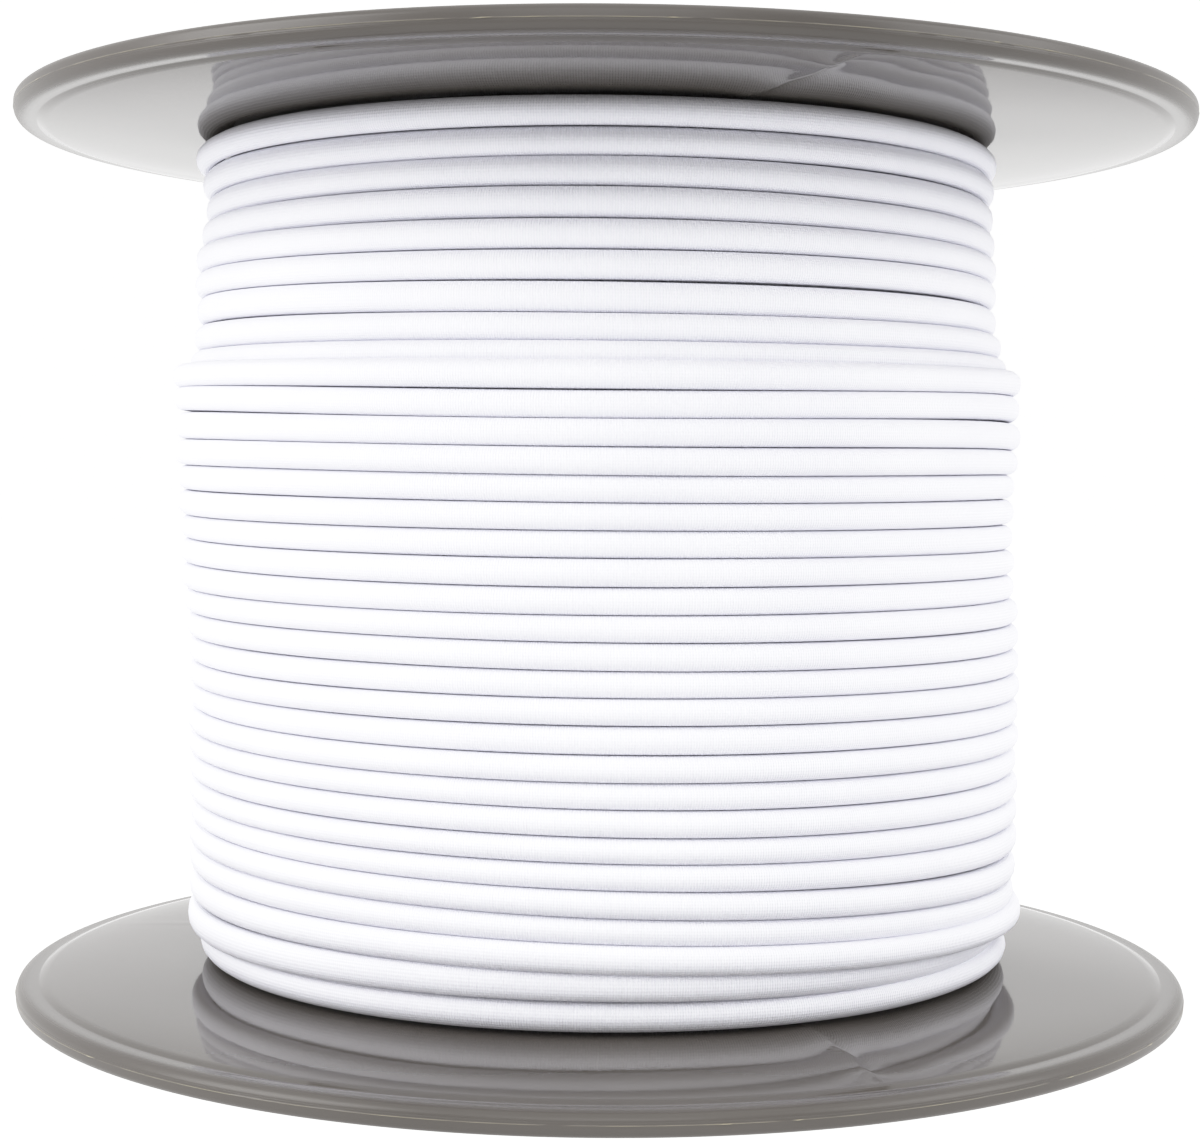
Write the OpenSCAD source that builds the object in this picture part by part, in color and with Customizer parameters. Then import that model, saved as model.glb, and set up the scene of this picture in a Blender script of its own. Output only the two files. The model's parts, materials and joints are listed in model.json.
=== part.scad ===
// Cord reel: two moulded flanges clipped to a core tube, wound full of round elastic cord.
// Millimetres. The reel stands on its lower rim at z = 0 with its axis along Z, and -Y is its front.

/* [Reel] */
// Diameter of both flanges
flange_d = 200; // [180:1:230]
// Height over both rims
reel_h = 150; // [120:1:190]
// Diameter of the bore that turns on a spindle
bore_d = 22; // [16:0.5:26]

/* [Flange web] */
// Thickness of the web
web_t = 2.2; // [1.6:0.1:2.8]
// How far the web leans outwards between the core tube and the rim
flare = 3; // [1:0.1:5]
// Thickness of the ribs on the outer face
rib_t = 1.8; // [1.2:0.1:3]
// Number of radial ribs, each between two others on the far side
rib_n = 12; // [6:2:16]
// How far ribs and hub stay below the face that the rim stands on
rib_recess = 0.6; // [0.2:0.1:1.2]

/* [Rim] */
// Height of the rim along the axis
rim_h = 3.7; // [3.2:0.1:5]
// Width of the rim along the radius
rim_w = 4; // [3:0.1:6]
// Rounding of the rim's edge next to the cord
rim_round = 1.8; // [0.8:0.1:2]
// Rounding of the rim's edge that the reel stands on
foot_round = 1.1; // [0.4:0.1:1.2]

/* [Hub] */
// Wall of the hub round the bore
hub_wall = 4; // [2.5:0.1:6]
// Length of each hub along the bore
hub_len = 24; // [14:0.5:34]
// Number of gussets between hub and collar
gusset_n = 6; // [3:1:8]
// How far the gussets stay below the collar's and the hub's ends
gusset_drop = 2; // [1:0.5:4]

/* [Core tube] */
// Outer diameter of the core tube
core_d = 80; // [70:1:96]
// Wall of the core tube
core_wall = 2.5; // [2:0.1:4]

/* [Collar and clips] */
// Height of the collar that holds the core tube from inside
collar_h = 14; // [11:0.5:22]
// Wall of the collar
collar_t = 2; // [1.6:0.1:3]
// Number of clips on each collar
clip_n = 3; // [2:1:5]
// Width of a clip
clip_w = 9; // [6:0.5:12]
// Height of a clip's tooth
tooth_h = 3; // [2:0.1:4]
// Distance from the tube's end to a clip's tooth
tooth_rise = 6; // [4:0.5:7]
// Depth that a tooth reaches into the tube's wall
tooth_reach = 1.5; // [0.8:0.1:1.8]
// Width of the slit on each side of a clip
slit_w = 1.2; // [0.8:0.1:2]

/* [Start hole] */
// Width of the hole for the cord's inner end
start_w = 7; // [5:0.5:9]
// Length of that hole along the radius
start_len = 13; // [10:0.5:16]
// Distance from the core tube to the hole
start_off = 4; // [3:0.5:6]
// Direction of the hole, in degrees to the right of the front
start_az = 24; // [0:1:60]

/* [Cord] */
// Diameter of the cord
cord_d = 4; // [3:0.1:5]
// Diameter over the turns next to each flange
low_d = 137; // [130:0.5:150]
// How far the raised turns stand out past the low ones
rise = 3.5; // [2.5:0.1:4]
// Turns that lie low under the upper flange
low_turns = 9; // [6:1:10]
// Turns that lie low above the lower flange
foot_turns = 2; // [1:1:3]
// Least space between neighbouring turns
turn_gap = 0.5; // [0.45:0.05:1]

/* [Clearances] */
// Radial clearance between collar and core tube
core_fit = 0.15; // [0.1:0.05:0.3]
// Clearance round a clip's tooth in its window
window_fit = 0.3; // [0.2:0.05:0.6]
// Clearance between the winding and what holds it
lay_fit = 0.3; // [0.2:0.05:0.6]

/* [Hidden] */

$fn = 128;

flange_r = flange_d / 2;
core_r = core_d / 2;
bore_r = bore_d / 2;
hub_r = bore_r + hub_wall;
hub_mid_r = bore_r + hub_wall / 2;
rim_in_r = flange_r - rim_w;
rim_mid_r = flange_r - rim_w / 2;
tube_in_r = core_r - core_wall;
collar_r = tube_in_r - core_fit;
collar_mid_r = collar_r - collar_t / 2;
seat_z = rim_h + flare;        // height of the face that the core tube stands on
web_mid = web_t / 2;
gusset_h = min(hub_len + rib_recess - seat_z, collar_h) - gusset_drop;
front = -90;                   // direction of the reel's front about the axis
start_dir = front + start_az;

// The web's face next to the cord: flat up to the core tube, then a shallow arc down to the rim
function lean(r) = (max(r, core_r) - core_r) / (rim_in_r - core_r);
function web_face(r) = rim_h + flare * (1 - pow(lean(r), 2));

arc_steps = 8;
edge_steps = 5;
web_radii = [for (i = [0 : arc_steps]) core_r + (rim_in_r - core_r) * i / arc_steps];
function web_line(drop) = [for (r = web_radii) [r, web_face(r) - drop]];
function backwards(list) = [for (i = [len(list) - 1 : -1 : 0]) list[i]];

// Quarter circle of an edge, from angle a by a quarter turn clockwise
function edge(centre, r, a) =
    [for (i = [0 : edge_steps]) centre + r * [cos(a - 90 * i / edge_steps), sin(a - 90 * i / edge_steps)]];

// ---- winding ----
// The cord's section is a hexagon with flats above and below
rings = 22;
sides = 6;
cord_r = cord_d / 2;
flat_half = cord_r * sin(60);
low_r = low_d / 2 - cord_r;
high_r = low_r + rise;
chord = cos(180 / rings);      // how far a straight stretch between rings falls inside its circle
low_bed = (low_r - cord_r) * chord - lay_fit;
high_bed = (high_r - cord_r) * chord - lay_fit;
end_z = web_face((low_r - cord_r) * chord) + lay_fit + flat_half;
top_z = reel_h - end_z;
turns = floor((top_z - end_z) / (2 * flat_half + turn_gap));
pitch = (top_z - end_z) / turns;
climb = 0.5;                   // share of a turn in which the cord climbs or drops a layer

// Turns are counted from the back of the reel, downwards from the upper flange. There too the cord
// climbs and drops, half of its way before the back and half behind it.
function eased(x) = let (c = min(max(x + 0.5, 0), 1)) c * c * (3 - 2 * c);
function raised(t) = eased((t - low_turns) / climb) * eased((turns - foot_turns - t) / climb);
function turn_r(t) = low_r + rise * raised(t);
function turn_z(t) = top_z - pitch * t;

// One ring of the cord at turn t, moved along the cord by run
function ring(t, run) =
    let (a = 90 + 360 * t, r = turn_r(t), out = [cos(a), sin(a), 0], along = [-sin(a), cos(a), 0])
    [for (k = [0 : sides - 1])
        (r + cord_r * cos(360 * k / sides)) * out + run * along
        + [0, 0, turn_z(t) + cord_r * sin(360 * k / sides)]];
function rings_between(t0, t1) = [for (i = [0 : (t1 - t0) * rings]) ring(t0 + i / rings, 0)];

upper_rings = concat([ring(0, -cord_d)], rings_between(0, low_turns));
outer_rings = concat(rings_between(low_turns, turns), [ring(turns, cord_d)]);

// Least distance between a tube's points and those one turn further on
near = 2;
function gap_of(list) = min([for (i = [0 : len(list) - 1 - rings - near], j = [-near : near],
    p = list[i], q = list[i + rings + j]) norm(p - q)]);
echo(least_gap_of_upper_turns = gap_of(upper_rings));
echo(least_gap_of_outer_turns = gap_of(outer_rings));
echo(least_gap_where_they_meet = gap_of(rings_between(low_turns - 2, low_turns + 2)));
echo(turns = turns, pitch = pitch);

// ---- flanges ----
module web_and_rim() {
    outer_edge = edge([flange_r - rim_round, rim_h - rim_round], rim_round, 90);
    foot_edge = edge([flange_r - foot_round, foot_round], foot_round, 0);
    rotate_extrude()
        polygon(concat([[hub_mid_r, seat_z]], web_line(0), outer_edge, foot_edge,
            [[rim_in_r, 0]], backwards(web_line(web_t)), [[hub_mid_r, seat_z - web_t]]));
}

// Rib standing along the radius on the web's outer face
module rib() {
    rotate([90, 0, 0])
        translate([0, 0, -rib_t / 2])
            linear_extrude(rib_t)
                polygon(concat([[hub_mid_r, rib_recess], [rim_mid_r, rib_recess], [rim_mid_r, rim_h - web_mid]],
                    backwards(web_line(web_mid)), [[hub_mid_r, seat_z - web_mid]]));
}

module outer_ribs() {
    for (i = [0 : rib_n - 1])
        rotate(start_dir + (i + 0.5) * 360 / rib_n) rib();
    translate([0, 0, rib_recess])
        difference() {
            cylinder(r = core_r + rib_t / 2, h = seat_z - web_mid - rib_recess);
            translate([0, 0, -1]) cylinder(r = core_r - rib_t / 2, h = seat_z);
        }
}

module hub() {
    translate([0, 0, rib_recess]) cylinder(r = hub_r, h = hub_len);
    for (i = [0 : gusset_n - 1])
        rotate(start_dir + (i + 0.5) * 360 / gusset_n)
            translate([hub_mid_r, -rib_t / 2, seat_z - web_mid])
                cube([collar_mid_r - hub_mid_r, rib_t, gusset_h + web_mid]);
}

module collar() {
    difference() {
        translate([0, 0, seat_z - web_mid]) cylinder(r = collar_r, h = collar_h + web_mid);
        translate([0, 0, seat_z - web_t]) cylinder(r = collar_r - collar_t, h = collar_h + 2 * web_t);
        clip_places()
            for (side = [-1, 1])
                translate([collar_r - collar_t - 1, side * (clip_w + slit_w) / 2 - slit_w / 2, seat_z])
                    cube([collar_t + 2, slit_w, collar_h + 1]);
    }
    clip_places()
        translate([collar_mid_r, -clip_w / 2, seat_z + tooth_rise])
            cube([collar_t / 2 + core_fit + tooth_reach, clip_w, tooth_h]);
}

module clip_places() {
    for (i = [0 : clip_n - 1])
        rotate(start_dir + i * 360 / clip_n) children();
}

module start_hole() {
    rotate(start_dir)
        translate([core_r + start_off, 0, -1]) {
            translate([start_w / 2, 0, 0]) cylinder(d = start_w, h = seat_z + 2);
            translate([start_len - start_w / 2, 0, 0]) cylinder(d = start_w, h = seat_z + 2);
            translate([start_w / 2, -start_w / 2, 0]) cube([start_len - start_w, start_w, seat_z + 2]);
        }
}

module flange() {
    difference() {
        union() {
            web_and_rim();
            outer_ribs();
            hub();
            collar();
        }
        translate([0, 0, -1]) cylinder(r = bore_r, h = rib_recess + hub_len + 2);
        start_hole();
    }
}

module lower_flange() {
    color("#9b9a96") flange();
}

// The upper flange is the same moulding, turned over about the line through the start hole
module upper_flange() {
    color("#9b9a96")
        translate([0, 0, reel_h])
            rotate([0, 0, start_dir]) rotate([180, 0, 0]) rotate([0, 0, -start_dir])
                flange();
}

// ---- core tube ----
module core_tube() {
    tube_h = reel_h - 2 * seat_z;
    window_w = clip_w + 2 * window_fit;
    window_h = tooth_h + 2 * window_fit;
    color("#8d8c88")
        difference() {
            translate([0, 0, seat_z]) cylinder(r = core_r, h = tube_h);
            translate([0, 0, seat_z - 1]) cylinder(r = tube_in_r, h = tube_h + 2);
            for (z = [tooth_rise - window_fit, tube_h - tooth_rise - window_fit - tooth_h])
                clip_places()
                    translate([tube_in_r - 1, -window_w / 2, seat_z + z])
                        cube([core_wall + 2, window_w, window_h]);
        }
}

// ---- cord ----
// The buried layers, as one plain body that leaves room for the outer turns
module inner_winding() {
    in_r = core_r + lay_fit;
    bed_top = turn_z(low_turns + climb / 2) - flat_half - lay_fit;
    bed_foot = turn_z(turns - foot_turns - climb / 2) + flat_half + lay_fit;
    foot = [for (i = [0 : arc_steps]) let (r = in_r + (low_bed - in_r) * i / arc_steps)
        [r, web_face(r) + lay_fit]];
    top = [for (p = backwards(foot)) [p[0], reel_h - p[1]]];
    color("#f1f0f3")
        rotate_extrude()
            polygon(concat(foot, [[low_bed, bed_foot], [high_bed, bed_foot], [high_bed, bed_top],
                [low_bed, bed_top]], top));
}

// Closed tube through a list of rings
module tube(list) {
    last = (len(list) - 1) * sides;
    walls = [for (i = [0 : len(list) - 2], k = [0 : sides - 1])
        let (a = i * sides + k, b = i * sides + (k + 1) % sides, c = a + sides, d = b + sides)
            each [[a, b, c], [b, d, c]]];
    start_cap = [for (k = [1 : sides - 2]) [0, k + 1, k]];
    end_cap = [for (k = [1 : sides - 2]) [last, last + k, last + k + 1]];
    polyhedron(points = [for (r = list) each r], faces = concat(walls, start_cap, end_cap));
}

module upper_turns() {
    color("#f4f3f6") tube(upper_rings);
}

module outer_turns() {
    color("#fbfafc") tube(outer_rings);
}

upper_flange();
lower_flange();
core_tube();
inner_winding();
upper_turns();
outer_turns();
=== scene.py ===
"""The looks of a reel of white elastic cord: glossy grey flanges and one continuous wound cord.

Sizes are in millimetres, MM turns them into metres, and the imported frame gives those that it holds.
"""
import json
import math

import bpy
import numpy as np
from mathutils import Euler, Matrix, Vector


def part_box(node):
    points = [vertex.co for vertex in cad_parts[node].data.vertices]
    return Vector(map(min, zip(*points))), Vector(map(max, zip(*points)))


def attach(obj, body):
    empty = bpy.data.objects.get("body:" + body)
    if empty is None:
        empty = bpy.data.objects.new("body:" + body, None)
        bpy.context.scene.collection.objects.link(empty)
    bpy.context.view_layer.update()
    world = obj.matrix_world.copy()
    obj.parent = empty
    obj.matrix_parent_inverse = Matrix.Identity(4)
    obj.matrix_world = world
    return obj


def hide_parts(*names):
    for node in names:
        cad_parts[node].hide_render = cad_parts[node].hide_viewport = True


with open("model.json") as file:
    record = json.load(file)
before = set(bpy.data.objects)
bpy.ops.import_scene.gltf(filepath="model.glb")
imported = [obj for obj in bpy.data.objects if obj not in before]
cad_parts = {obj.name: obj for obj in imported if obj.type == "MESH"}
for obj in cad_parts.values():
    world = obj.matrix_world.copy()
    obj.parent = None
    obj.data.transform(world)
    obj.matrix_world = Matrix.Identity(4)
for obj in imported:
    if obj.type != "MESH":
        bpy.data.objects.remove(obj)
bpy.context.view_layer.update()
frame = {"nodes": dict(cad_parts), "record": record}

MM = 0.001
TAU = 2 * math.pi


# ---- sizes that the frame holds ----
def corners_mm(node):
    """The lowest and the highest corner of a node of the frame, in millimetres."""
    return [[v / MM for v in corner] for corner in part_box(node)]


def mount(name):
    """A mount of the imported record."""
    return next(m for m in frame["record"]["mounts"] if m["name"] == name)


FLANGE_R = corners_mm("lower_flange")[1][0]
HUB_END = corners_mm("lower_flange")[1][2]
REEL_H = corners_mm("upper_flange")[1][2]
CORE_R = corners_mm("core_tube")[1][0]
SEAT_Z = corners_mm("core_tube")[0][2]          # the web's face inside the core tube
BORE_R = mount("spindle_bore")["dims"]["r_mm"]
MID_Z = REEL_H / 2

# ---- flange ----
WEB_T = 2.2
RIM_H, RIM_W = 3.7, 4.0
RIM_ROUND, FOOT_ROUND = 1.8, 1.1
CONE_DROP = 2.0                                 # the web's face comes down this far to the rim
BEND_DROP, BEND_POWER = 0.7, 8                  # and bends down this much more, nearly all of it near the rim
STEP_W = 0.9                                    # the step lies round the rim's inner edge
EDGE, FILLET, CHAMFER = 0.35, 0.8, 0.6          # at the walls' ends, at their feet, and at the bore
RIB_T, RIB_N, RIB_RECESS = 1.8, 12, 0.6
HUB_R = BORE_R + 4
GUSSET_N, GUSSET_END = 6, 18.7
COLLAR_R, COLLAR_T, COLLAR_END = CORE_R - 2.65, 2.0, SEAT_Z + 14
CLIP_N, CLIP_W, SLIT_W = 3, 9, 1.2
TOOTH_RISE, TOOTH_H, TOOTH_OUT = 6, 3, 1.65
START_AZ = math.radians(24 - 90)                # direction of the start hole and of the weld line beside it
START_W, START_LEN, START_OFF = 7, 13, 4
RIM_IN_R = FLANGE_R - RIM_W
PARTING_Z = RIM_H - RIM_ROUND
# The lip at the parting line: (outwards, upwards) from it.
LIP = ((0, -0.2), (0, -0.1), (0.1, 0), (-0.03, 0.1), (-0.04, 0.35), (-0.10, 0.42))
FLASH_OUT, FLASH_IN = 0.18, 0.09                # how far the flash sticks out, and how far the lip draws back
NIB_W = 0.55
NIBS = [math.radians(v) for v in (-80.2, -74.4, -47.0, -36.7, -32.5, 18, 97, 160, 221)]
FINE_AZ = math.radians(25)                      # half of the stretch round the start hole with the finer mesh
FINE_SEGMENTS, OTHER_SEGMENTS = 270, 330
WELD_MID_R = 85
WELD_TWIST = math.radians(-0.11)                # the weld line leans this much per millimetre outwards
LOWER_WELD = math.radians(1.5)                  # the weld line's angle past the start hole
UPPER_WELD = math.radians(3.6)
SHARP_ANGLE = math.radians(32)

# ---- the camera's tones: the light that comes in, and how light it is shown ----
TONES = ((0, 0), (0.5, 0.5), (0.7, 0.70), (0.8, 0.785), (0.9, 0.855), (1.0, 0.91), (1.12, 0.96), (1.25, 1.0))
TONE_END = TONES[-1][0]
STRAIGHT_TO = 0.6                               # below this the curve has no rounding

# ---- camera, as fitted to the flanges ----
LENS, SENSOR = 68.31, 36.0
CAMERA_AT = (0.0, -399.4, 87.8)
CAMERA_PITCH, CAMERA_ROLL, CAMERA_YAW = 0.03985, 0.00724, 0.00115

# ---- studio ----
DIM_SIDE = (-0.6, -0.15)                        # a direction's share of +Y: fully dim, and no longer dim
FLOOR_SIZE, FLOOR_LEVEL = 4000, -0.02           # half the floor's width; it lies just under the rim's foot
FLOOR_FADE = (120, 750)                         # the floor changes from near to far between these distances


# ---- meshes ----
def linked(name, data):
    """A new object in the scene."""
    thing = bpy.data.objects.new(name, data)
    bpy.context.scene.collection.objects.link(thing)
    return thing


def solid(name, points, faces, material=None):
    """A piece from points in millimetres."""
    mesh = bpy.data.meshes.new(name)
    mesh.from_pydata((np.asarray(points, float) * MM).tolist(), [], faces)
    if material:
        mesh.materials.append(material)
    return linked(name, mesh)


def smooth(piece):
    """piece, shaded smooth."""
    mesh = piece.data
    mesh.polygons.foreach_set("use_smooth", np.ones(len(mesh.polygons), bool))
    mesh.update()
    return piece


def vertices_mm(mesh):
    """A mesh's points in millimetres."""
    co = np.empty(len(mesh.vertices) * 3, np.float32)
    mesh.vertices.foreach_get("co", co)
    return co.reshape(-1, 3) / MM


def skin(rows, columns, closed_rows):
    """Quads over a grid of rings: rows of columns points each, each ring closed on itself."""
    last = rows if closed_rows else rows - 1
    i, k = np.meshgrid(np.arange(last), np.arange(columns), indexing="ij")
    here, after = i * columns, (i + 1) % rows * columns
    beside = (k + 1) % columns
    return np.stack([here + k, after + k, after + beside, here + beside], -1).reshape(-1, 4).tolist()


def revolved(name, profile, angles, material, reshape=None):
    """A closed anticlockwise profile of (radius, height) points, turned about the axis.

    reshape, where given, moves its points.
    """
    radius, height = np.array(profile).T
    r, a = np.meshgrid(radius, angles)
    z = np.broadcast_to(height, r.shape)
    if reshape:
        r, z = reshape(r, a, z)
    points = np.stack([r * np.cos(a), r * np.sin(a), z], -1).reshape(-1, 3)
    return smooth(solid(name, points, skin(len(angles), len(profile), True), material))


def prism(name, outline, low, high, material=None):
    """A straight closed solid over an anticlockwise outline of (x, y) points."""
    n = len(outline)
    points = [(x, y, low) for x, y in outline] + [(x, y, high) for x, y in outline]
    sides = [(k, (k + 1) % n, n + (k + 1) % n, n + k) for k in range(n)]
    return solid(name, points, [tuple(reversed(range(n))), tuple(range(n, 2 * n)), *sides], material)


def turned(piece, angle):
    """piece, turned about the reel's axis."""
    piece.data.transform(Matrix.Rotation(angle, 4, "Z"))
    return piece


def joined(pieces, name):
    """Several pieces as one."""
    with bpy.context.temp_override(active_object=pieces[0], selected_editable_objects=pieces):
        bpy.ops.object.join()
    pieces[0].name = pieces[0].data.name = name
    return pieces[0]


def prisms_around(count, phase, name, outline, low, high, material=None):
    """Prisms over one outline, evenly round the axis from the start hole's direction, as one piece."""
    angles = [START_AZ + (k + phase) * TAU / count for k in range(count)]
    return joined([turned(prism(name, outline, low, high, material), angle) for angle in angles], name)


def carved(piece, tool, operation):
    """piece after a boolean with tool, which is used up."""
    step = piece.modifiers.new("step", "BOOLEAN")
    step.operation, step.solver, step.object = operation, "MANIFOLD", tool
    graph = bpy.context.evaluated_depsgraph_get()
    mesh = bpy.data.meshes.new_from_object(piece.evaluated_get(graph))
    piece.modifiers.clear()
    piece.data, old = mesh, piece.data
    bpy.data.meshes.remove(old)
    bpy.data.objects.remove(tool)
    return piece


def sharpened(piece, angle):
    """piece with its edges over that angle shown sharp and the rest smooth."""
    smooth(piece)
    with bpy.context.temp_override(object=piece, active_object=piece, selected_objects=[piece],
                                   selected_editable_objects=[piece]):
        bpy.ops.object.shade_smooth_by_angle(angle=angle)
    return piece


# ---- materials ----
def new_material(name):
    """A material, its node tree and its principled shader."""
    material = bpy.data.materials.new(name)
    material.use_nodes = True
    return material, material.node_tree, material.node_tree.nodes["Principled BSDF"]


def feed(tree, socket, given):
    """Gives a node's input a constant, or links another node's output to it."""
    if isinstance(given, bpy.types.NodeSocket):
        tree.links.new(given, socket)
    else:
        socket.default_value = given


def set_inputs(tree, node, inputs):
    """Feeds a node's inputs by their names."""
    for name, given in inputs.items():
        feed(tree, node.inputs[name], given)


def object_place(tree):
    """Coordinates that stay with the piece."""
    return tree.nodes.new("ShaderNodeTexCoord").outputs["Object"]


def calculation(tree, kind, operation, *inputs):
    """A node that calculates with its inputs in their order."""
    node = tree.nodes.new(kind)
    node.operation = operation
    for socket, given in zip(node.inputs, inputs):
        feed(tree, socket, given)
    return node


def math_of(tree, operation, *inputs):
    """A calculation with values."""
    return calculation(tree, "ShaderNodeMath", operation, *inputs).outputs["Value"]


def length_of(tree, vector):
    """The length of a vector."""
    return calculation(tree, "ShaderNodeVectorMath", "LENGTH", vector).outputs["Value"]


def axes_of(tree, vector):
    """The outputs X, Y and Z of a vector."""
    split = tree.nodes.new("ShaderNodeSeparateXYZ")
    tree.links.new(vector, split.inputs["Vector"])
    return split.outputs


def noise_of(tree, place, scale, detail):
    """A noise over the coordinates that place gives."""
    noise = tree.nodes.new("ShaderNodeTexNoise")
    set_inputs(tree, noise, {"Vector": place, "Scale": scale, "Detail": detail})
    return noise.outputs["Fac"]


def ramp_of(tree, source, *stops):
    """A colour ramp over a value, from (position, colour) stops."""
    ramp = tree.nodes.new("ShaderNodeValToRGB")
    while len(ramp.color_ramp.elements) < len(stops):
        ramp.color_ramp.elements.new(0.5)
    for element, (position, colour) in zip(ramp.color_ramp.elements, stops):
        element.position = position
        element.color = (*colour, 1)
    tree.links.new(source, ramp.inputs["Fac"])
    return ramp.outputs["Color"]


def value_range(tree, source, low, high, first=0.0, last=1.0, kind="LINEAR"):
    """A value of first to last, carried over to low to high."""
    remap = tree.nodes.new("ShaderNodeMapRange")
    remap.interpolation_type = kind
    set_inputs(tree, remap, {"Value": source, "From Min": first, "From Max": last,
                             "To Min": low, "To Max": high})
    return remap.outputs["Result"]


def mixed(tree, share, a, b, blend="MIX"):
    """Colour a, with a share of colour b blended in."""
    mix = tree.nodes.new("ShaderNodeMix")
    mix.data_type, mix.blend_type = "RGBA", blend
    set_inputs(tree, mix, {"Factor": share, "A": a, "B": b})
    return mix.outputs["Result"]


def bump_of(tree, height, strength, distance):
    """A normal from a height."""
    bump = tree.nodes.new("ShaderNodeBump")
    set_inputs(tree, bump, {"Height": height, "Strength": strength, "Distance": distance})
    return bump.outputs["Normal"]


def rubbed_rim(tree, place):
    """Roughness that the rim has gained on shelves and tables: none inside, most at its outer edge."""
    most, from_edge, to_edge = 0.26, 3.0, 0.6
    flat = calculation(tree, "ShaderNodeVectorMath", "MULTIPLY", place, (1, 1, 0)).outputs["Vector"]
    return value_range(tree, length_of(tree, flat), low=0.0, high=most,
                       first=(FLANGE_R - from_edge) * MM, last=(FLANGE_R - to_edge) * MM)


def flange_plastic():
    """Glossy moulded grey plastic, with faint flow marks and pale flash where a mesh marks it."""
    material, tree, shader = new_material("flange_plastic")
    place = object_place(tree)
    flow = noise_of(tree, place, scale=22, detail=4)
    body = ramp_of(tree, flow, (0.3, (0.079, 0.071, 0.064)), (0.7, (0.092, 0.083, 0.075)))
    flash = tree.nodes.new("ShaderNodeAttribute")
    flash.attribute_name = "flash"
    haze = noise_of(tree, place, scale=60, detail=5)
    gloss = value_range(tree, haze, low=0.03, high=0.09)
    grain = noise_of(tree, place, scale=900, detail=2)
    set_inputs(tree, shader, {
        "Base Color": mixed(tree, flash.outputs["Fac"], body, (0.46, 0.42, 0.31, 1)),
        "Roughness": math_of(tree, "ADD", gloss, rubbed_rim(tree, place)),
        "Normal": bump_of(tree, grain, strength=0.02, distance=0.0002),
        "IOR": 1.45})
    return material


def core_plastic():
    """Satin grey plastic with fine drag lines along the tube."""
    material, tree, shader = new_material("core_plastic")
    stretch = tree.nodes.new("ShaderNodeMapping")
    set_inputs(tree, stretch, {"Vector": object_place(tree), "Scale": (1, 1, 0.05)})
    lines = noise_of(tree, stretch.outputs["Vector"], scale=700, detail=3)
    set_inputs(tree, shader, {
        "Base Color": ramp_of(tree, lines, (0.3, (0.10, 0.093, 0.085)), (0.7, (0.125, 0.116, 0.106))),
        "Normal": bump_of(tree, lines, strength=0.2, distance=0.0001),
        "Roughness": 0.42,
        "IOR": 1.5})
    return material


def wave_of(tree, source, per_unit):
    """A sine over a value, with that many waves to a unit."""
    return math_of(tree, "SINE", math_of(tree, "MULTIPLY", source, TAU * per_unit))


def cord_cover():
    """White satin textile cover: fine ribs across the cord, crossed by the yarns that run along it, with
    painted shade in the grooves between the ribs.
    """
    rib_pitch, yarns = 0.40, 30
    yarn_share, uneven_share, groove_shade_share = 0.45, 1.6, 0.35
    material, tree, shader = new_material("cord_cover")
    # The map named cord_run has the millimetres along the cord and the share of the way round it.
    run = tree.nodes.new("ShaderNodeUVMap")
    run.uv_map = "cord_run"
    axes = axes_of(tree, run.outputs["UV"])
    across = wave_of(tree, axes["X"], 1 / rib_pitch)
    along = wave_of(tree, axes["Y"], yarns)
    place = object_place(tree)
    weave = math_of(tree, "MULTIPLY_ADD", along, yarn_share, across)
    uneven = noise_of(tree, place, scale=1500, detail=2)
    height = math_of(tree, "MULTIPLY_ADD", uneven, uneven_share, weave)
    tone = noise_of(tree, place, scale=45, detail=3)
    cover = ramp_of(tree, tone, (0.3, (0.795, 0.795, 0.85)), (0.7, (0.83, 0.83, 0.88)))
    # Painted shade: the cover's colour is darker in the grooves between the ribs, where shade falls.
    groove_shade = ramp_of(tree, value_range(tree, across, low=0.5, high=1.0),
                      (0.5, (0.80, 0.80, 0.84)), (1.0, (1, 1, 1)))
    set_inputs(tree, shader, {
        "Base Color": mixed(tree, groove_shade_share, cover, groove_shade, "MULTIPLY"),
        "Normal": bump_of(tree, height, strength=0.5, distance=0.00006),
        "Roughness": 0.55,
        "Sheen Weight": 0.15,
        "Sheen Roughness": 0.4})
    return material


# ---- flanges ----
def web_share(r):
    """How far radius r is from the core tube to the rim, from 0 to 1."""
    return np.clip((r - CORE_R) / (RIM_IN_R - CORE_R), 0, 1)


def web_face(r):
    """Height of the web's face next to the cord, at radius r: a flat cone that bends down towards the rim."""
    out = web_share(r)
    return SEAT_Z - CONE_DROP * out - BEND_DROP * out ** BEND_POWER


def arc(centre, radius, start, stop, steps):
    """Points of a rounding, angles in degrees."""
    angles = np.radians(np.linspace(start, stop, steps + 1))
    return [(centre[0] + radius * math.cos(a), centre[1] + radius * math.sin(a)) for a in angles]


def rim_section():
    """The rim from its foot over the parting line to its top, and the step down to the web's face."""
    top_w, step_n = 1.3, 8
    drop = web_face(RIM_IN_R) - RIM_H
    step = [(RIM_IN_R + (0.5 - s) * STEP_W, float(RIM_H + drop * s * s * (3 - 2 * s)))
            for s in np.linspace(0, 1, step_n + 1)[:-1]]
    return (arc((FLANGE_R - FOOT_ROUND, FOOT_ROUND), FOOT_ROUND, -90, 0, 6)
            + [(FLANGE_R + out, PARTING_Z + up) for out, up in LIP]
            + arc((FLANGE_R - RIM_ROUND, RIM_H - RIM_ROUND), RIM_ROUND, 20, 90, 8)
            + [(RIM_IN_R + top_w, RIM_H)]
            + step)


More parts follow.
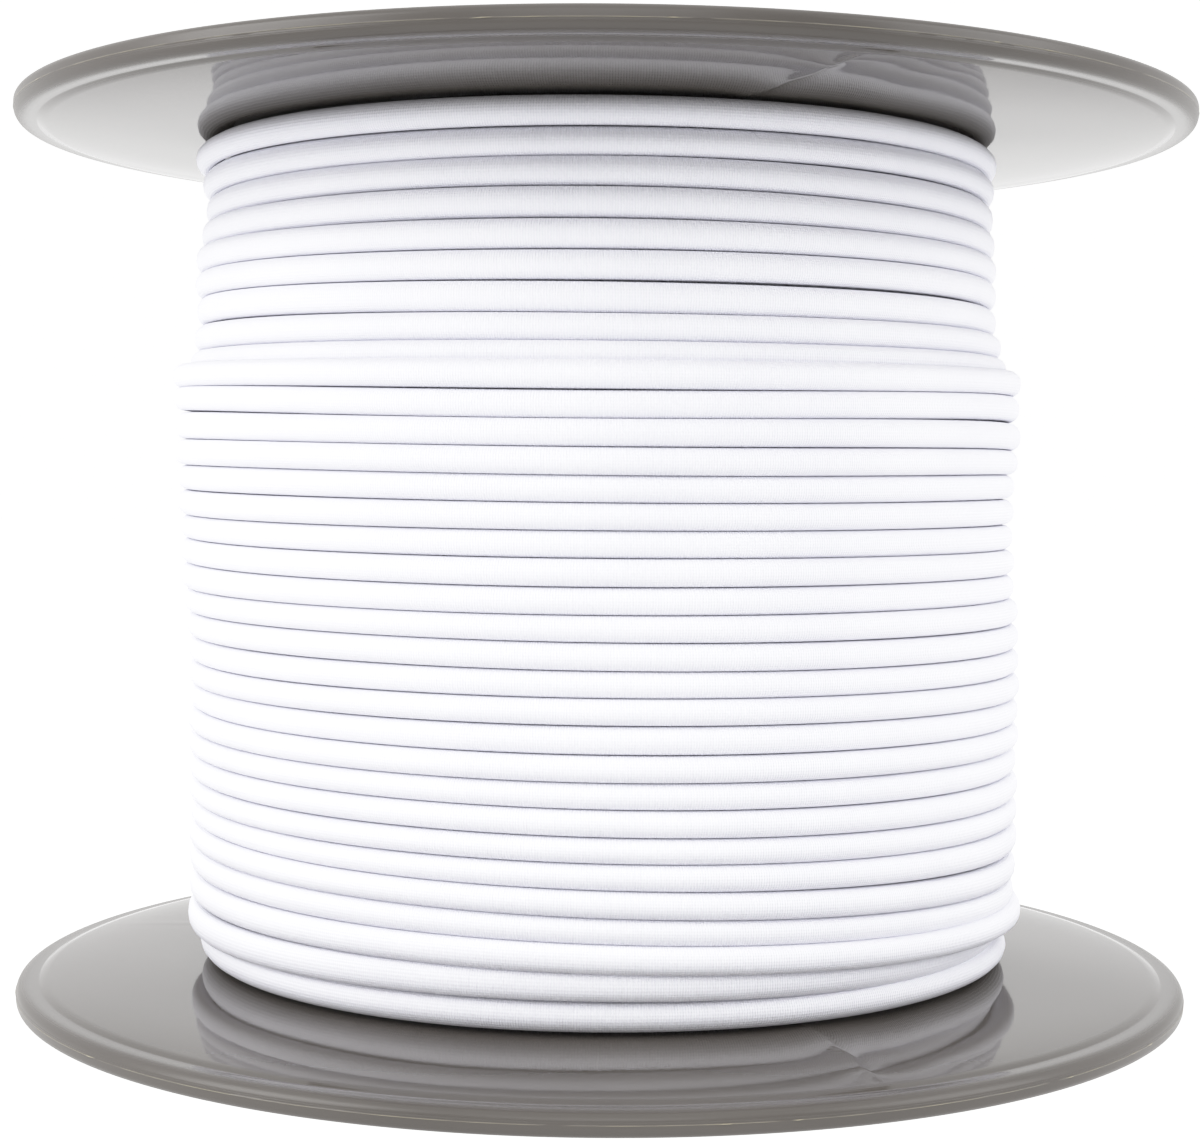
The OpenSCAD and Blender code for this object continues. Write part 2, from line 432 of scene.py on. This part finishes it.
def collar_section():
    """The collar: its foot, its outside, its rounded end and its inside."""
    inner, end, foot = COLLAR_R - COLLAR_T, COLLAR_END - EDGE, 0.2
    return ([(COLLAR_R + foot, SEAT_Z), (COLLAR_R, SEAT_Z + foot)]
            + arc((COLLAR_R - EDGE, end), EDGE, 0, 90, 3)
            + arc((inner + EDGE, end), EDGE, 90, 180, 3)
            + arc((inner - FILLET, SEAT_Z + FILLET), FILLET, 0, -90, 4))


def hub_section():
    """The hub: its foot and its inner end, the bore with its chamfers, and its outer end."""
    return (arc((HUB_R + FILLET, SEAT_Z + FILLET), FILLET, 270, 180, 4)
            + arc((HUB_R - EDGE, HUB_END - EDGE), EDGE, 0, 90, 3)
            + [(BORE_R + CHAMFER, HUB_END), (BORE_R, HUB_END - CHAMFER),
               (BORE_R, RIB_RECESS + CHAMFER), (BORE_R + CHAMFER, RIB_RECESS)]
            + arc((HUB_R - EDGE, RIB_RECESS + EDGE), EDGE, -90, 0, 3))


def outer_section():
    """The outer face from the hub to the rim's foot, with the ring rib on it."""
    corner, draft, top, bevel = 0.5, 0.1, 0.3, 0.2
    under = SEAT_Z - WEB_T
    near, far = CORE_R - RIB_T / 2, CORE_R + RIB_T / 2
    ring = [(HUB_R, under - corner), (HUB_R + corner, under), (near - corner, under), (near, under - corner),
            (near + draft, RIB_RECESS + bevel), (near + top, RIB_RECESS),
            (far - top, RIB_RECESS), (far - draft, RIB_RECESS + bevel), (far, under - corner)]
    web = [(r, float(web_face(r)) - WEB_T) for r in np.linspace(far + corner, RIM_IN_R - 0.6, 14)]
    foot = [(RIM_IN_R, RIM_H - WEB_T - 0.4), (RIM_IN_R, 0.3), (RIM_IN_R + 0.3, 0)]
    return ring + web + foot


def flange_profile():
    """The flange's section, anticlockwise from the rim's foot."""
    face = [(r, float(web_face(r))) for r in np.linspace(RIM_IN_R - STEP_W / 2, CORE_R, 53)]
    return rim_section() + face + collar_section() + hub_section() + outer_section()


def flange_angles():
    """Directions of the flange's sections, closer together near the weld line."""
    first, last = START_AZ - FINE_AZ, START_AZ + FINE_AZ
    return np.concatenate([np.linspace(first, last, FINE_SEGMENTS, endpoint=False),
                           np.linspace(last, first + TAU, OTHER_SEGMENTS, endpoint=False)])


def turn_between(a, b):
    """The angle from b to a, between -pi and pi."""
    return np.angle(np.exp(1j * (a - b)))


def waves(x, terms, base=0.0):
    """Sines over x, from (size, rate, phase) terms, on top of base."""
    for size, rate, phase in terms:
        base = base + size * np.sin(rate * x + phase)
    return base


def flash_at(a):
    """How much flash the mould left on the parting line in each direction: a thin line with a few nibs."""
    thin = waves(a, ((0.12, 17, 1), (0.10, 41, 2), (0.08, 97, 0)), base=0.26)
    nibs = sum(np.exp(-(turn_between(a, nib) * FLANGE_R / NIB_W) ** 2) for nib in NIBS)
    return np.clip(thin, 0, 1) + nibs


def weld_waves(r, a, weld, side):
    """The weld line where the plastic met behind the start hole: a sharp low ridge, and ripples beside it."""
    core_gap, core_fade, rim_gap, rim_fade = 3, 12, 1.5, 5      # the line fades out at both ends
    wobble, ridge_h, steep, slow = 0.35, 0.34, 1.7, 4           # steep and slow are the lengths of its slopes
    ripple_h, ripple_at, ripple_w = 0.09, 13, 11
    bearing = START_AZ + weld + WELD_TWIST * (r - WELD_MID_R)
    off = side * turn_between(a, bearing) * r + wobble * np.sin(r / 1.7)      # millimetres past the ridge
    near = (np.clip((r - CORE_R - core_gap) / core_fade, 0, 1)
            * np.clip((RIM_IN_R - rim_gap - r) / rim_fade, 0, 1))
    slope = np.where(off > 0, np.exp(-off / steep), np.exp(off / slow))
    ridge = ridge_h * (0.8 + 0.2 * np.sin(r / 2.3)) * slope
    ripples = ripple_h * np.exp(-((off - ripple_at) / ripple_w) ** 2) * np.sin(off / 4.6 + r / 9)
    return near * (ridge + ripples)


def web_waves(weld, side):
    """The moulded web isn't quite true. Gives the function that moves a flange's points."""
    long_h = 0.06
    line_h, line_w, line_az = 0.05, 0.7, math.pi - 0.24         # a fine line at the reel's side
    patch_h, patch_az, patch_r = 0.03, math.radians(-37), 75    # a patch of fine ripples
    patch_w, patch_len = 5, 4

    def moved(r, a, z):
        on_face = (z >= web_face(r) - 0.05) & (r > CORE_R + 1) & (r < RIM_IN_R - STEP_W / 2 + 0.01)
        bell = np.sin(np.pi * web_share(r))
        long_waves = long_h * bell * waves(a, ((1, 3, 0.7), (0.6, 5, 2.1), (0.35, 9, r / 9)))
        line = line_h * bell * np.exp(-(turn_between(a, line_az) * r / line_w) ** 2)
        patch = patch_h * np.exp(-(turn_between(a, patch_az) * r / patch_w) ** 2
                                 - ((r - patch_r) / patch_len) ** 2)
        lift = long_waves + weld_waves(r, a, weld, side) + line + patch * np.sin(r * 2 + a * 40)
        flash_out = np.where(r > FLANGE_R + 0.05, FLASH_OUT * flash_at(a) - FLASH_IN, 0)
        return r + flash_out, np.where(on_face, z + lift, z)
    return moved


def rib_points(section):
    """Points of one rib along +X: a ring of the section at each radius. Its root follows the web."""
    points = []
    for r in np.linspace(HUB_R - 2, RIM_IN_R + 2, 22):
        root = float(web_face(min(r, RIM_IN_R))) - WEB_T / 2
        points += [(r, across, root if up is None else RIB_RECESS + up) for across, up in section]
    return points


def flange_ribs(material):
    """The ribs on the outer face, with a little draft and rounded edges."""
    edge, half, draft = 0.25, RIB_T / 2, 0.12
    # (sideways, millimetres above the recess), or None for the root inside the web
    section = [(-half, None), (half, None), (half - draft, edge), (half - draft - edge, 0),
               (-half + draft + edge, 0), (-half + draft, edge)]
    points = rib_points(section)
    n = len(section)
    rows = len(points) // n
    faces = [[i * n + j, i * n + (j + 1) % n, (i + 1) * n + (j + 1) % n, (i + 1) * n + j]
             for i in range(rows - 1) for j in range(n)]
    faces += [list(reversed(range(n))), [(rows - 1) * n + j for j in range(n)]]
    ribs = [turned(solid("rib", points, faces, material), START_AZ + (k + 0.5) * TAU / RIB_N)
            for k in range(RIB_N)]
    return joined(ribs, "ribs")


def box_outline(x0, x1, half, middle=0.0):
    """A rectangle that lies along a radius, or beside it by middle."""
    return [(x0, middle - half), (x1, middle - half), (x1, middle + half), (x0, middle + half)]


def slot_outline():
    """The start hole: two half circles and what lies between them."""
    half = START_W / 2
    near, far = CORE_R + START_OFF + half, CORE_R + START_OFF + START_LEN - half
    return arc((far, 0), half, -90, 90, 20) + arc((near, 0), half, 90, 270, 20)


def flange(name, material, weld, side):
    """One flange as it stands at the bottom of the reel."""
    piece = revolved(name, flange_profile(), flange_angles(), material, web_waves(weld, side))
    carved(piece, flange_ribs(material), "UNION")
    gusset = box_outline(HUB_R - 2, COLLAR_R - 1, RIB_T / 2)
    carved(piece, prisms_around(GUSSET_N, 0.5, "gusset", gusset, SEAT_Z - 1, GUSSET_END, material), "UNION")
    tooth = box_outline(COLLAR_R - 1, COLLAR_R + TOOTH_OUT, CLIP_W / 2)
    tooth_z = SEAT_Z + TOOTH_RISE
    carved(piece, prisms_around(CLIP_N, 0, "tooth", tooth, tooth_z, tooth_z + TOOTH_H, material), "UNION")
    for middle in (-(CLIP_W + SLIT_W) / 2, (CLIP_W + SLIT_W) / 2):
        slit = box_outline(COLLAR_R - COLLAR_T - 1, COLLAR_R + 1, SLIT_W / 2, middle)
        carved(piece, prisms_around(CLIP_N, 0, "slit", slit, SEAT_Z + 0.01, COLLAR_END + 1), "DIFFERENCE")
    carved(piece, prisms_around(1, 0, "hole", slot_outline(), -1, SEAT_Z + 2), "DIFFERENCE")
    return sharpened(piece, SHARP_ANGLE)


def mark_flash(piece):
    """Marks the parting line's flash for the flange's material."""
    x, y, z = vertices_mm(piece.data).T
    on_line = (np.hypot(x, y) > FLANGE_R - 0.01) & (np.abs(z - PARTING_Z) < 0.05)
    flash = np.where(on_line, np.clip(flash_at(np.arctan2(y, x)), 0, 1), 0)
    piece.data.attributes.new("flash", "FLOAT", "POINT").data.foreach_set("value", flash.astype(np.float32))
    return piece


def add_flanges(material):
    """Both flanges. The upper one is turned over about the line through the start hole."""
    lower = mark_flash(flange("lower_flange_moulding", material, LOWER_WELD, 1))
    upper = mark_flash(flange("upper_flange_moulding", material, UPPER_WELD, -1))
    line = Vector((math.cos(START_AZ), math.sin(START_AZ), 0))
    upper.data.transform(Matrix.Translation((0, 0, REEL_H * MM)) @ Matrix.Rotation(math.pi, 4, line))
    return lower, upper


# ---- cord ----
# Places along the cord are counted in turns from the back, downwards from the upper flange: turn n passes the
# left side at n - 0.75, the front at n - 0.5 and the right side at n - 0.25. Levels are heights above the
# reel's middle.
RINGS, SIDES = 180, 16
CORD_R = 2.05
# How square the cord's section is, 2 being an ellipse: (level, power). Turns in between are squarer.
PROFILE_POWERS = ((-66, 2.0), (-60, 2.3), (60, 2.3), (66, 2.0))
# How far a turn's upper side (or its lower side, where negative) is tucked in towards the axis.
TUCKS = ((-66, -0.8), (-61.5, 0), (54, 0), (58, 0.5), (62, 0.95), (66, 0.8))
# At the reel's sides, the tucked side also moves by this share towards the turn that covers it.
TUCK_LIFT = 0.5
BED_LEVEL = 68.3                 # where the webs are, next to the first and the last turn
TURN_FILL = 0.995                # share of its room that a turn fills
HALF_MIN, HALF_MAX = 1.8, 2.3    # a turn's half height, before it laps over a neighbour
LAP_MAX = 0.35
TRUE_LEVEL, TRUE_FADE = 66.5, 6  # a turn against a flange lies true, and wanders from this far off
# The level of the cord's centre at a turn: (turn, level).
LEVELS = ((-0.05, 66.4), (0.6, 66.3), (7.5, 34.8), (8.5, 30.8), (9.5, 27.9), (10.5, 23.6), (25.5, -37.3),
          (30.5, -56.9), (31.5, -61.2), (31.8, -62.6), (32.2, -66.1), (32.6, -66.2), (33.06, -66.0))
# The cord's outer side at a turn: (turn, radius). The raised turns run from 9 to 31.
RADII = ((-0.05, 65.0), (0.12, 68.4), (0.35, 68.9), (0.8, 68.6), (1.25, 67.8), (1.75, 68.4), (2.25, 67.0),
         (2.75, 68.1), (3.25, 67.7), (3.75, 68.8), (7.4, 68.9), (7.75, 69.8), (8.25, 69.8), (8.75, 70.9),
         (9.2, 72.9), (12, 72.8), (14.5, 72.0), (27, 71.8), (30.25, 71.5), (30.75, 72.8), (31.25, 71.7),
         (31.5, 70.8), (31.8, 68.4), (32.04, 70.2), (32.25, 69.5), (32.5, 69.5), (32.75, 70.5), (32.9, 68.8),
         (33.06, 66.6))
# How far the turns at a level are out of true: raised on the left and as low on the right, raised at both
# sides over front and back, and moved to the left.
LEANS = ((-66, 0), (-60, 0.2), (-55, 1.6), (-50, 1.7), (-42, 0.6), (-25, -0.1), (10, -0.55), (50, -0.5),
         (57, -0.6), (62, -1.1), (66.4, 0))
BOWS = ((-66.4, 0), (-63, -1.0), (-55, -1.6), (-50, -0.7), (-44, 0), (-8, 0.35), (2, 0.75), (19, 1.1),
        (23.6, 2.2), (27, 2.1), (31, 0.75), (45, 0.7), (52, 0), (60, -0.4), (66.4, 0))
SWAYS = ((-69, 0), (-45, -0.3), (-12, -0.2), (-4, 1.1), (28, 1.2), (32, 1.5), (69, 1.5))
# Each turn's own small error: (size, rate, phase).
LEVEL_WANDER = ((0.10, TAU * 0.37, 1.0), (0.08, TAU * 1.31, 0), (0.06, TAU * 2.83, 2.0))
RADIUS_WANDER = ((0.16, TAU * 0.43, 0.5), (0.11, TAU * 1.19, 2.0))
# The side of the buried layers: (level, radius).
BED = ((-69, 65.6), (-60, 65.8), (-58, 67.1), (29, 67.1), (31, 64.2), (48, 64.2), (54, 62.8), (69, 62.8))
LAYER_IN_R = CORE_R + 0.4
LAYER_PITCH, LAYER_RIDGE = 4.05, 0.9
LAYER_GAP, LAYER_CORNER = 0.35, 0.5     # between layers and webs, and how far their corners are cut back
LAYER_SEGMENTS, END_POINTS, WALL_POINTS = 200, 48, 380
LAYER_MAP_R = 60                        # the radius at which the layers' map is in millimetres
LAYER_SWAY_R = 60                       # the layers sway only outside this radius


def between(knots, x):
    """Straight lines from knot to knot."""
    at, value = np.array(knots).T
    return np.interp(x, at, value)


def eased(knots, x):
    """Smooth steps from knot to knot."""
    at, value = np.array(knots).T
    k = np.clip(np.searchsorted(at, x, "right") - 1, 0, len(at) - 2)
    share = np.clip((x - at[k]) / (at[k + 1] - at[k]), 0, 1)
    return value[k] + (value[k + 1] - value[k]) * share ** 2 * (3 - 2 * share)


def cord_level(t):
    """Level of the cord's centre, with each turn's own small error."""
    level = between(LEVELS, t)
    leftward = -np.cos(TAU * (t + 0.25))
    free = np.clip((TRUE_LEVEL - np.abs(level)) / TRUE_FADE, 0, 1)
    lean, bow = between(LEANS, level) * leftward, between(BOWS, level) * leftward ** 2
    return level + lean + bow + waves(t, LEVEL_WANDER) * free


def cord_outside(t):
    """Radius of the cord's outer side."""
    first, last = 0.5, 30            # the turns that wander
    free = np.clip(np.minimum(t - first, last - t), 0, 1)
    sway = between(SWAYS, between(LEVELS, t)) * np.cos(math.pi / 2 + TAU * t)
    return eased(RADII, t) + waves(t, RADIUS_WANDER) * free - sway


def smoothed(values, window=41):
    """Values along the cord, each averaged with those beside it."""
    padded = np.pad(values, window // 2, mode="edge")
    return np.convolve(padded, np.ones(window) / window, "valid")


def lap(t, beside):
    """Turns that don't lie at the same depth come this much closer to each other."""
    offset = cord_outside(t) - cord_outside(np.clip(t + beside, t[0], t[-1]))
    return np.minimum(offset ** 2 / (4 * CORD_R), LAP_MAX)


def cord_sections(t):
    """Middle level and half height of each section: it fills the room up to its neighbours or to a flange."""
    here = cord_level(t)
    above = np.where(t - 1 < t[0], BED_LEVEL - here, (cord_level(t - 1) - here) / 2)
    below = np.where(t + 1 > t[-1], here + BED_LEVEL, (here - cord_level(t + 1)) / 2)
    top = smoothed(np.clip(above, HALF_MIN, HALF_MAX) + lap(t, -1))
    bottom = smoothed(np.clip(below, HALF_MIN, HALF_MAX) + lap(t, 1))
    return here + (top - bottom) / 2, TURN_FILL * (top + bottom) / 2


def squared(share, power):
    """A section's sine or cosine, squarer than an ellipse's where power is over 2."""
    return np.sign(share) * np.abs(share) ** (2 / power)


def cord_points(t, radius, height, depth, half):
    """A ring of points round the cord's middle at each place, and the tuck of its upper or lower side."""
    phi = np.arange(SIDES) * TAU / SIDES
    level = cord_level(t)
    power = between(PROFILE_POWERS, level)[:, None]
    tuck = between(TUCKS, level)[:, None]
    tucked = np.clip(np.sign(tuck) * np.sin(phi), 0, 1) ** 2
    inner_turn = ((t > 1) & (t < LEVELS[-1][0] - 1))[:, None]
    lift = TUCK_LIFT * inner_turn * np.cos(TAU * (t + 0.25))[:, None] ** 2
    r = radius[:, None] + depth[:, None] * squared(np.cos(phi), power) - np.abs(tuck) * tucked
    z = height[:, None] + half[:, None] * squared(np.sin(phi), power) + lift * tuck * tucked
    angle = (math.pi / 2 + TAU * t)[:, None]
    return np.stack([r * np.cos(angle), r * np.sin(angle), z], -1).reshape(-1, 3)


def wound_cord(material):
    """The cord's last layer as one unbroken tube, from where it comes up at the back to its tucked end."""
    first, last = LEVELS[0][0], LEVELS[-1][0]
    t = np.linspace(first, last, round((last - first) * RINGS) + 1)
    middle, half = cord_sections(t)
    depth = CORD_R ** 2 / half
    radius, height = cord_outside(t) - depth, MID_Z + middle
    last_ring = (len(t) - 1) * SIDES
    faces = skin(len(t), SIDES, False)
    faces += [list(reversed(range(SIDES))), [last_ring + k for k in range(SIDES)]]
    cord = smooth(solid("wound_cord", cord_points(t, radius, height, depth, half), faces, material))
    angle = math.pi / 2 + TAU * t
    steps = np.hypot(np.diff(angle) * radius[1:], np.diff(height))
    add_cord_run(cord.data, np.concatenate([[0], np.cumsum(steps)]))
    return cord


def add_cord_run(mesh, run):
    """The map that the cover's weave follows: millimetres along the cord, and the share of the way round."""
    i, k = np.meshgrid(np.arange(len(run) - 1), np.arange(SIDES), indexing="ij")
    along = np.stack([run[i], run[i + 1], run[i + 1], run[i]], -1)
    round_it = np.stack([k, k, k + 1, k + 1], -1) / SIDES
    sides = np.stack([along, round_it], -1).reshape(-1, 2)
    flat = np.zeros((len(mesh.loops), 2), np.float32)
    flat[:len(sides)] = sides
    flat[len(sides):, 0] = run[-1]
    mesh.uv_layers.new(name="cord_run").data.foreach_set("uv", flat.ravel())


def layer_ridges(x):
    """How far the buried turns' ridges are below their tops, at x across them."""
    return LAYER_RIDGE * (np.abs(np.sin(np.pi * x / LAYER_PITCH)) - 1)


def layer_profile():
    """The buried layers' section, anticlockwise: the lower end, the side and the upper end."""
    wall_gap = 1.2
    low_r = np.linspace(LAYER_IN_R, BED[0][1] - LAYER_CORNER, END_POINTS)
    low = [(r, float(web_face(r)) + LAYER_GAP - layer_ridges(r - LAYER_IN_R)) for r in low_r]
    high_r = np.linspace(BED[-1][1] - LAYER_CORNER, LAYER_IN_R, END_POINTS)
    high = [(r, REEL_H - float(web_face(r)) - LAYER_GAP + layer_ridges(r - LAYER_IN_R)) for r in high_r]
    z = np.linspace(low[-1][1] + wall_gap, high[0][1] - wall_gap, WALL_POINTS)
    wall_r = between(BED, z - MID_Z) + layer_ridges(z - MID_Z)
    return low + list(zip(wall_r.tolist(), z.tolist())) + high


def swayed(r, a, z):
    """The buried layers' side, moved along with the turns that cover it."""
    return r - between(SWAYS, z - MID_Z) * np.cos(a) * np.clip(r - LAYER_SWAY_R, 0, 1), z


def buried_layers(material):
    """The layers under the last one: their turns show as ridges on the outside and at both ends."""
    angles = np.arange(LAYER_SEGMENTS) * TAU / LAYER_SEGMENTS
    piece = revolved("buried_layers", layer_profile(), angles, material, swayed)
    mesh = piece.data
    x, y, z = vertices_mm(mesh).T
    index = np.empty(len(mesh.loops), np.int32)
    mesh.loops.foreach_get("vertex_index", index)
    along, round_it = np.arctan2(y, x) * LAYER_MAP_R, (np.hypot(x, y) + z) / (3 * LAYER_PITCH)
    flat = np.stack([along, round_it], -1)[index].astype(np.float32)
    mesh.uv_layers.new(name="cord_run").data.foreach_set("uv", flat.ravel())
    return piece


# ---- camera, floor and light ----
def add_camera():
    """The camera where the fit puts it."""
    data = bpy.data.cameras.new("camera")
    data.lens, data.sensor_width, data.clip_start = LENS, SENSOR, 0.01
    tilt = Euler((math.pi / 2 - CAMERA_PITCH, 0, CAMERA_YAW)).to_matrix()
    turn = tilt @ Matrix.Rotation(CAMERA_ROLL, 3, "Z")
    camera = linked("camera", data)
    camera.matrix_world = Matrix.Translation(Vector(CAMERA_AT) * MM) @ turn.to_4x4()
    bpy.context.scene.camera = camera


def add_floor():
    """A white light table that dims with distance on the studio's dim side, in front of the reel."""
    dim, bright = 0.4, 1.3
    material, tree, shader = new_material("floor_white")
    place = object_place(tree)
    away = length_of(tree, place)
    bearing = math_of(tree, "DIVIDE", axes_of(tree, place)["Y"], away)
    far = value_range(tree, bearing, dim, bright, *DIM_SIDE, kind="SMOOTHSTEP")
    near_end, far_end = FLOOR_FADE
    glow = value_range(tree, away, bright, far, near_end * MM, far_end * MM, kind="SMOOTHSTEP")
    set_inputs(tree, shader, {
        "Base Color": (0.08, 0.08, 0.08, 1),
        "Roughness": 1.0,
        "Specular IOR Level": 0.0,
        "Emission Color": (1, 1, 1, 1),
        "Emission Strength": glow})
    corners = [(x * FLOOR_SIZE, y * FLOOR_SIZE, FLOOR_LEVEL) for x, y in ((-1, -1), (1, -1), (1, 1), (-1, 1))]
    smooth(solid("floor", corners, [(0, 1, 2, 3)], material))


def add_world():
    """A white studio: brightest overhead, white behind and beside the reel, and dim in front of it."""
    front, elsewhere, overhead = 0.38, 1.26, 1.4
    world = bpy.data.worlds.new("studio")
    world.use_nodes = True
    tree = world.node_tree
    axes = axes_of(tree, tree.nodes.new("ShaderNodeTexCoord").outputs["Generated"])
    level = value_range(tree, axes["Y"], front, elsewhere, *DIM_SIDE, kind="SMOOTHSTEP")
    height = tree.nodes.new("ShaderNodeClamp")
    tree.links.new(axes["Z"], height.inputs["Value"])
    square = math_of(tree, "POWER", height.outputs["Result"], 2)
    set_inputs(tree, tree.nodes["Background"], {
        "Color": (1, 1, 1, 1),
        "Strength": value_range(tree, square, level, overhead)})
    bpy.context.scene.world = world


def add_light(name, place, size, power):
    """A soft square white light that looks at the reel's middle. place is in millimetres, power in watts."""
    data = bpy.data.lights.new(name, "AREA")
    data.shape, data.size, data.energy = "SQUARE", size * MM, power
    light = linked(name, data)
    light.location = Vector(place) * MM
    aim = Vector((0, 0, MID_Z * MM)) - light.location
    light.rotation_euler = aim.to_track_quat("-Z", "Y").to_euler()


def add_lights():
    """A large soft light above the camera, and one on each side."""
    add_light("key", (0, -1000, 560), 700, 3.0)
    add_light("left", (-800, -430, 450), 700, 7.0)
    add_light("right", (860, -360, 450), 700, 4.2)


def set_tone_curve():
    """A photographic curve: straight up to the light greys, then a soft shoulder for the cord's detail."""
    view = bpy.context.scene.view_settings
    view.view_transform = "Standard"
    view.use_curve_mapping = True
    mapping = view.curve_mapping
    mapping.white_level = (TONE_END, TONE_END, TONE_END)
    curve = mapping.curves[3]
    for point, (light, shown) in zip((curve.points[0], curve.points[-1]), (TONES[0], TONES[-1])):
        point.location = (light / TONE_END, shown)
    for light, shown in TONES[1:-1]:
        curve.points.new(light / TONE_END, shown)
    for point in curve.points:
        if point.location[0] * TONE_END < STRAIGHT_TO:
            point.handle_type = "VECTOR"
    mapping.update()


def main():
    """Makes every piece, puts it in its CAD nodes' place, and sets up the studio."""
    add_camera()
    plastic, core, cover = flange_plastic(), core_plastic(), cord_cover()
    lower, upper = add_flanges(plastic)
    cord, layers = wound_cord(cover), buried_layers(cover)
    for piece, slot, nodes in ((lower, "flange_plastic", ["lower_flange"]),
                               (upper, "flange_plastic", ["upper_flange"]),
                               (cord, "cord_cover", ["upper_turns", "outer_turns"]),
                               (layers, "cord_cover", ["inner_winding"])):
        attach(piece, "root")
        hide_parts(*nodes)
    tube = frame["nodes"]["core_tube"]
    tube.data.materials.clear()
    tube.data.materials.append(core)
    add_floor()
    add_world()
    add_lights()
    set_tone_curve()


main()
